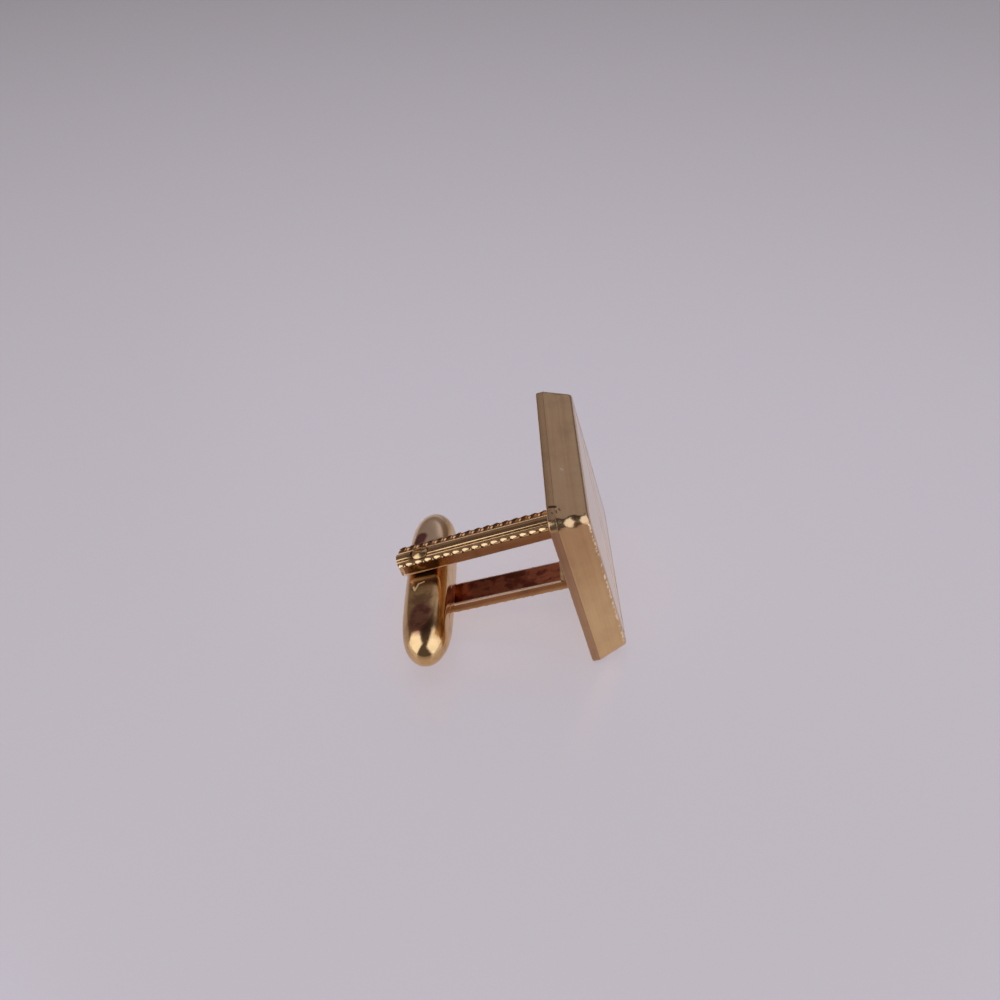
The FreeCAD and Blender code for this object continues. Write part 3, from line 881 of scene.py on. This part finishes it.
pinLook = {
    "shaft": 0.6 * mm, "head": 0.8 * mm, "headHeight": 0.38 * mm, "rimShare": 0.3, "rimEdge": 0.04 * mm,
    "grooveHalf": 0.22 * mm, "grooveDepth": 0.16 * mm, "grooveBevel": 0.08 * mm,
    "camHalf": 0.85 * mm, "camHeight": 1.43 * mm, "domeSteps": 10, "domeTip": 0.02,
}


def seatCutter():
    g = legLook
    p = pinLook
    ground = g["innerHalf"] + g["ground"] - g["seatDepth"]
    hole = p["shaft"] + g["holeClearance"]
    seat = p["head"] + g["seatClearance"]
    beyond = ground + 2 * p["headHeight"]
    return lathe("seat_cutter", [(seat, -beyond, 0), (seat, -ground, 0), (hole, -ground, 0),
                                 (hole, ground, 0), (seat, ground, 0), (seat, beyond, 0)], steps=96)


def makePin():
    p = pinLook
    ground = legLook["innerHalf"] + legLook["ground"] - legLook["seatDepth"]
    rim = ground + p["rimShare"] * p["headHeight"]
    top = ground + p["headHeight"]
    sag = top - rim
    dome = (p["head"] ** 2 + sag ** 2) / (2 * sag)
    wide = math.asin(p["head"] / dome)
    half = [(p["domeTip"] * p["head"], top, 0)]
    for step in range(1, p["domeSteps"] + 1):
        angle = wide * step / p["domeSteps"]
        half.append((dome * math.sin(angle), top - dome + dome * math.cos(angle), 0))
    edge = roundedLine([half[-2], (p["head"], rim, p["rimEdge"]), (p["head"], ground, 0)], steps=4)
    half = half[:-1] + [(r, z, 0) for r, z in edge[1:]]
    half += [(p["shaft"], ground, 0), (p["shaft"], p["camHeight"], 0)]
    upper = half + [(0, p["camHeight"], p["camHalf"])]
    lower = [(r, -z, s) for r, z, s in reversed(upper)]
    pin = lathe("pivot_rivet", upper + lower, turn=barLook["Turn"])
    groove = bmesh.new()
    # the groove runs right across each head
    size = Matrix.Diagonal((4 * p["head"], 2 * p["grooveHalf"], 2 * p["grooveDepth"], 1.0))
    for side in (-1, 1):
        place = Matrix.Translation(pivot + Vector((0, 0, side * top)))
        bmesh.ops.create_cube(groove, size=1.0, matrix=place @ size)
    cutter = addObject("groove_cutter", meshFrom(groove, "groove_cutter"))
    cutAway(pin, cutter)
    bpy.data.objects.remove(cutter)
    return pin


strip = makeStrip()
cutter = seatCutter()
cutAway(strip, cutter)
smoothPiece(strip, bevel=legLook["tipBevel"])
settle(strip, "case_and_post", "post_gold", goldLeg, "leg_bracket")
beads = makeBeads()
cutAway(beads, cutter)
smoothPiece(beads, sharpAngle=50)
settle(beads, "case_and_post", "post_gold", goldBead)
bpy.data.objects.remove(cutter)
pin = makePin()
smoothPiece(pin, bevel=pinLook["grooveBevel"])
settle(pin, "case_and_post", "pin_gold", goldPin, "pivot_pin")


# toggle: a torpedo with four flats, each half a closed shell made by rule

def makeTorpedoTree():
    tree, start, end = newGroup("torpedoHalf", [
        ("Seed Mesh", "NodeSocketGeometry", None),
        *((label, "NodeSocketFloat", size) for label, size in barLook.items()),
        ("Side", "NodeSocketFloat", None),
        ("Pivot", "NodeSocketVector", None),
        ("Finish", "NodeSocketMaterial", None),
    ], [("Half", "NodeSocketGeometry")], "GeometryNodeTree")
    value = start.outputs
    grid = addNode(tree, "GeometryNodeMeshGrid", {
        "Size X": 1.0, "Size Y": 1.0,
        "Vertices X": barMesh["around"] + 1, "Vertices Y": barMesh["along"] + 1})
    u, v = axesOf(tree, tree.nodes.new("GeometryNodeInputPosition").outputs[0])[:2]
    u = calc(tree, "ADD", u, 0.5)
    v = calc(tree, "ADD", v, 0.5)
    inside = calc(tree, "GREATER_THAN", u, 0.5)
    # once round the half: out along the outer skin, back along the inner one
    fold = calc(tree, "SUBTRACT", 1.0, calc(tree, "ABSOLUTE", calc(tree, "MULTIPLY_ADD", u, 2.0, -1.0)))
    theta = calc(tree, "MULTIPLY", fold, math.pi)
    thin = calc(tree, "MULTIPLY", inside, value["Wall"])
    radius = calc(tree, "SUBTRACT", calc(tree, "MULTIPLY", value["Diameter"], 0.5), thin)
    shorter = calc(tree, "SUBTRACT", value["Hollow"], value["Length"])
    half = calc(tree, "MULTIPLY", calc(tree, "MULTIPLY_ADD", inside, shorter, value["Length"]), 0.5)
    along = calc(tree, "MULTIPLY", calc(tree, "COSINE", calc(tree, "MULTIPLY", v, math.pi)), -1.0)
    taper = calc(tree, "POWER", calc(tree, "ABSOLUTE", along), value["Fullness"])
    bulge = calc(tree, "SQRT", calc(tree, "MAXIMUM", calc(tree, "SUBTRACT", 1.0, taper), 0.0))
    cos = calc(tree, "COSINE", theta)
    sin = calc(tree, "SINE", theta)
    facing = calc(tree, "MAXIMUM", calc(tree, "ABSOLUTE", cos), calc(tree, "ABSOLUTE", sin))
    flat = calc(tree, "SUBTRACT", calc(tree, "MULTIPLY", value["Across Flats"], 0.5), thin)
    wearAndShade = calc(tree, "SMOOTH_MIN", calc(tree, "MULTIPLY", radius, bulge), calc(tree, "DIVIDE", flat, facing),
                value["Softness"])
    # a fine line where the halves meet
    high = calc(tree, "DIVIDE", calc(tree, "MULTIPLY", wearAndShade, sin), value["Seam Width"])
    line = calc(tree, "MULTIPLY", calc(tree, "EXPONENT", product(tree, high, high, -1.0)), value["Seam"])
    outer = calc(tree, "MAXIMUM", calc(tree, "SUBTRACT", wearAndShade, line), 0.0)
    spot = addNode(tree, "ShaderNodeCombineXYZ", {
        "X": calc(tree, "MULTIPLY", outer, cos),
        "Y": calc(tree, "SUBTRACT", calc(tree, "MULTIPLY", half, along), value["Overhang"]),
        "Z": product(tree, outer, sin, value["Side"])})
    turned = addNode(tree, "ShaderNodeVectorRotate", {"Vector": spot.outputs[0], "Angle": value["Turn"]},
                     rotation_type="Z_AXIS")
    placed = vectorCalc(tree, "ADD", turned.outputs[0], value["Pivot"])
    shaped = addNode(tree, "GeometryNodeSetPosition", {"Geometry": grid.outputs["Mesh"], "Position": placed})
    merged = addNode(tree, "GeometryNodeMergeByDistance", {
        "Geometry": shaped.outputs[0], "Distance": barMesh["weld"]})
    real = addNode(tree, "GeometryNodeRealizeInstances", {"Geometry": merged.outputs[0]})
    finish = addNode(tree, "GeometryNodeSetMaterial", {
        "Geometry": real.outputs[0], "Material": value["Finish"]})
    tree.links.new(finish.outputs[0], end.inputs["Half"])
    return tree


def makeToggleHalf(name, tree, side, cutter):
    half = addObject(name, bpy.data.meshes.new(name))
    modifier = half.modifiers.new("torpedo", "NODES")
    modifier.node_group = tree
    setInputs(modifier, dict(barLook, Side=float(side), Pivot=pivot, Finish=goldToggle))
    bake(half)
    bm = bmesh.new()
    bm.from_mesh(half.data)
    bmesh.ops.holes_fill(bm, edges=bm.edges, sides=0)
    bmesh.ops.recalc_face_normals(bm, faces=bm.faces)
    print(name, "open edges", sum(edge.is_boundary for edge in bm.edges))
    bm.to_mesh(half.data)
    bm.free()
    cutAway(half, cutter)
    smoothPiece(half, sharpAngle=50)
    return half


torpedoTree = makeTorpedoTree()
hole = pinLook["shaft"] + barMesh["holeClearance"]
beyond = barLook["Across Flats"]
holeCutter = lathe("hole_cutter", [(hole, -beyond, 0), (hole, beyond, 0)], steps=96)
for place, side in (("upper", 1), ("lower", -1)):
    half = makeToggleHalf("toggle_" + place, torpedoTree, side, holeCutter)
    settle(half, "toggle", "toggle_gold", goldToggle, "toggle_shell_" + place)
bpy.data.objects.remove(holeCutter)

spring = frame["nodes"]["detent_spring"]
spring.data.materials.clear()
spring.data.materials.append(springSteel)
print("toggle made")


# floor, light and camera: the link lies on its case's back edge and the tip of its lower leg

restEdge = Vector((backX, 0, plateLow.z))
restTip = Vector((legLow.x, 0, legLow.z))
floorAlong = (restTip - restEdge).normalized()
floorUp = floorAlong.cross(Vector((0, 1, 0)))
floorUp = floorUp if floorUp.z > 0 else -floorUp
stageLook = {
    "floorSize": 2.4, "floorColour": (0.53, 0.50, 0.535), "floorRough": 0.22,
    "skyLow": (0.42, 0.40, 0.43), "skyMiddle": (0.16, 0.14, 0.15), "skyHigh": (0.06, 0.052, 0.060),
    "farGlow": (0.44, 0.43, 0.54), "roomDark": (0.11, 0.10, 0.11), "backdrop": (0.527, 0.485, 0.546),
    "horizon": (0.0, 0.16), "overhead": (0.55, 0.95), "roomSide": (0.1, -0.4),
    "glowRight": (-0.34, -0.20), "glowAway": (0.2, 0.7), "glowRise": (0.38, 0.52), "glowFall": (0.85, 0.66),
}


def mixShaders(tree, share, first, second, out):
    mix = addNode(tree, "ShaderNodeMixShader", {0: share, 1: first.outputs[0], 2: second.outputs[0]})
    tree.links.new(mix.outputs[0], out.inputs["Surface"])


def makeFloor():
    size = stageLook["floorSize"] / 2
    turn = floorUp.to_track_quat("Z", "Y").to_matrix()
    bm = bmesh.new()
    corners = [(-size, -size), (size, -size), (size, size), (-size, size)]
    bm.faces.new([bm.verts.new(restEdge + turn @ Vector((x, y, 0))) for x, y in corners])
    floor = addObject("floor", meshFrom(bm, "floor"))
    material = bpy.data.materials.new("pale_floor")
    material.use_nodes = True
    tree = material.node_tree
    surface = tree.nodes["Principled BSDF"]
    surface.inputs["Base Color"].default_value = (*stageLook["floorColour"], 1.0)
    surface.inputs["Roughness"].default_value = stageLook["floorRough"]
    clear = tree.nodes.new("ShaderNodeBsdfTransparent")
    side = tree.nodes.new("ShaderNodeNewGeometry")
    mixShaders(tree, side.outputs["Backfacing"], surface, clear, tree.nodes["Material Output"])
    floor.data.materials.append(material)
    return floor


def makeSky():
    # a dim room: pale at the horizon, dark overhead, with a cool glow low on the far right
    s = stageLook
    world = bpy.data.worlds.new("studio")
    scene.world = world
    world.use_nodes = True
    tree = world.node_tree
    light = tree.nodes["Background"]
    where = tree.nodes.new("ShaderNodeTexCoord")

    def towards(direction):
        links = {0: where.outputs["Generated"], 1: direction}
        return addNode(tree, "ShaderNodeVectorMath", links, operation="DOT_PRODUCT").outputs["Value"]

    rise = towards(floorUp)
    rightward = towards(floorAlong * -1)
    away = towards(Vector((0, 1, 0)))
    sky = mixColour(tree, spread(tree, rise, *s["horizon"]), s["skyLow"], s["skyMiddle"])
    sky = mixColour(tree, spread(tree, rise, *s["overhead"]), sky, s["skyHigh"])
    glow = product(tree, spread(tree, rightward, *s["glowRight"]), spread(tree, away, *s["glowAway"]),
                   spread(tree, rise, *s["glowRise"]), spread(tree, rise, *s["glowFall"]))
    sky = mixColour(tree, glow, sky, s["farGlow"])
    sky = mixColour(tree, spread(tree, away, *s["roomSide"]), sky, s["roomDark"])
    tree.links.new(sky, light.inputs["Color"])
    plain = addNode(tree, "ShaderNodeBackground", {"Color": (*s["backdrop"], 1.0)})
    ray = tree.nodes.new("ShaderNodeLightPath")
    mixShaders(tree, ray.outputs["Is Camera Ray"], light, plain, tree.nodes["World Output"])


windowLook = {"height": 33, "distance": 0.30, "tall": 0.38, "radiance": 1.4, "colour": (0.88, 1.0, 1.28)}
fillLook = {
    "azimuth": 0, "height": 80, "distance": 0.60, "wide": 0.5, "tall": 0.5, "radiance": 4.9,
    "colour": (1.0, 0.985, 1.01),
}


def addLamp(name, azimuth, height, distance, wide, tall, radiance, colour):
    # azimuth from the camera's side, positive to the right; height above the floor in degrees
    data = bpy.data.lights.new(name, "AREA")
    data.shape = "RECTANGLE"
    data.size = wide
    data.size_y = tall
    data.energy = radiance * math.pi * wide * tall
    data.color = colour
    lamp = bpy.data.objects.new(name, data)
    scene.collection.objects.link(lamp)
    flatDirection = Vector((math.sin(math.radians(azimuth)), -math.cos(math.radians(azimuth)), 0))
    flatDirection = (flatDirection - floorUp * flatDirection.dot(floorUp)).normalized()
    direction = flatDirection * math.cos(math.radians(height)) + floorUp * math.sin(math.radians(height))
    lamp.location = pivot + direction * distance
    lamp.rotation_mode = "QUATERNION"
    lamp.rotation_quaternion = direction.to_track_quat("Z", "Y")
    return lamp


cameraView = {
    "place": (5.871, -71.679, 59.357), "forward": (-0.1539, 0.7841, -0.6013), "up": (0.2280, 0.6203, 0.7505),
    "lens": 36.09, "sensor": 36.0, "clipStart": 1.0, "clipEnd": 5000.0,
}


def makeCamera():
    data = bpy.data.cameras.new("camera")
    data.sensor_width = cameraView["sensor"]
    data.lens = cameraView["lens"]
    data.clip_start = cameraView["clipStart"] * mm
    data.clip_end = cameraView["clipEnd"] * mm
    camera = bpy.data.objects.new("camera", data)
    scene.collection.objects.link(camera)
    back = -Vector(cameraView["forward"]).normalized()
    right = Vector(cameraView["up"]).cross(back).normalized()
    turn = Matrix((right, back.cross(right), back)).transposed()
    camera.matrix_world = Matrix.Translation(Vector(cameraView["place"]) * mm) @ turn.to_4x4()
    scene.camera = camera


makeFloor()
makeSky()
for name, azimuth, wide in (("window_left", -77, 0.31), ("window_right", 68, 0.37)):
    window = addLamp(name, azimuth=azimuth, wide=wide, **windowLook)
    window.visible_diffuse = False
fill = addLamp("overhead_fill", **fillLook)
fill.visible_glossy = False
fill.data.use_shadow = False
makeCamera()
print("stage set")
